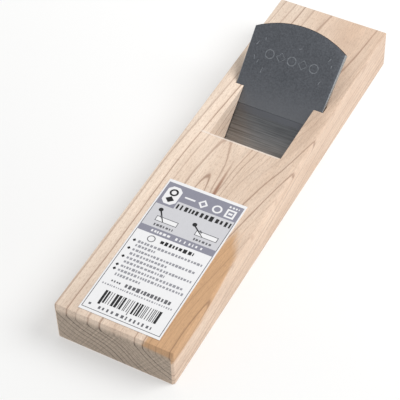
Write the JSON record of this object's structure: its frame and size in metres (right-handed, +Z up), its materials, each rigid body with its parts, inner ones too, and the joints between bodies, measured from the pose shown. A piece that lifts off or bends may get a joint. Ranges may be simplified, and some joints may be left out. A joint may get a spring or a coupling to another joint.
{
  "type": "wooden hand plane with a single iron",
  "caption": "Small flat wooden hand plane: a pale hardwood block with a tapered, round-headed iron wedged in side grooves on a sloping bed, and a paper label on top.",
  "frame": {"origin": "centre of the sole, which is the bottom centre of the whole plane's box", "axes": "+Y along the body towards the end that holds the iron, +X across it to the right, +Z up from the sole"},
  "size_m": [0.0508, 0.195, 0.0384],
  "materials": {
    "body_wood": "planed and sanded pale pinkish hardwood, unfinished, with visible growth rings",
    "soft_iron": "forge-black blue-grey scale, satin",
    "cutting_steel": "ground across, dark grey with fine straight scratches",
    "label_paper": "coated white paper, printed in grey-blue and black, satin"
  },
  "bodies": {
    "body": {"dai": "body_wood", "paper_label": "label_paper"},
    "iron": {"blade_iron": "soft_iron", "blade_steel": "cutting_steel"}
  },
  "joints": [
    {"name": "iron_slide", "type": "slide", "parent": "body", "child": "iron", "axis": [0, 0.7826, 0.6225], "range_m": [-0.001, 0.03]}
  ]
}
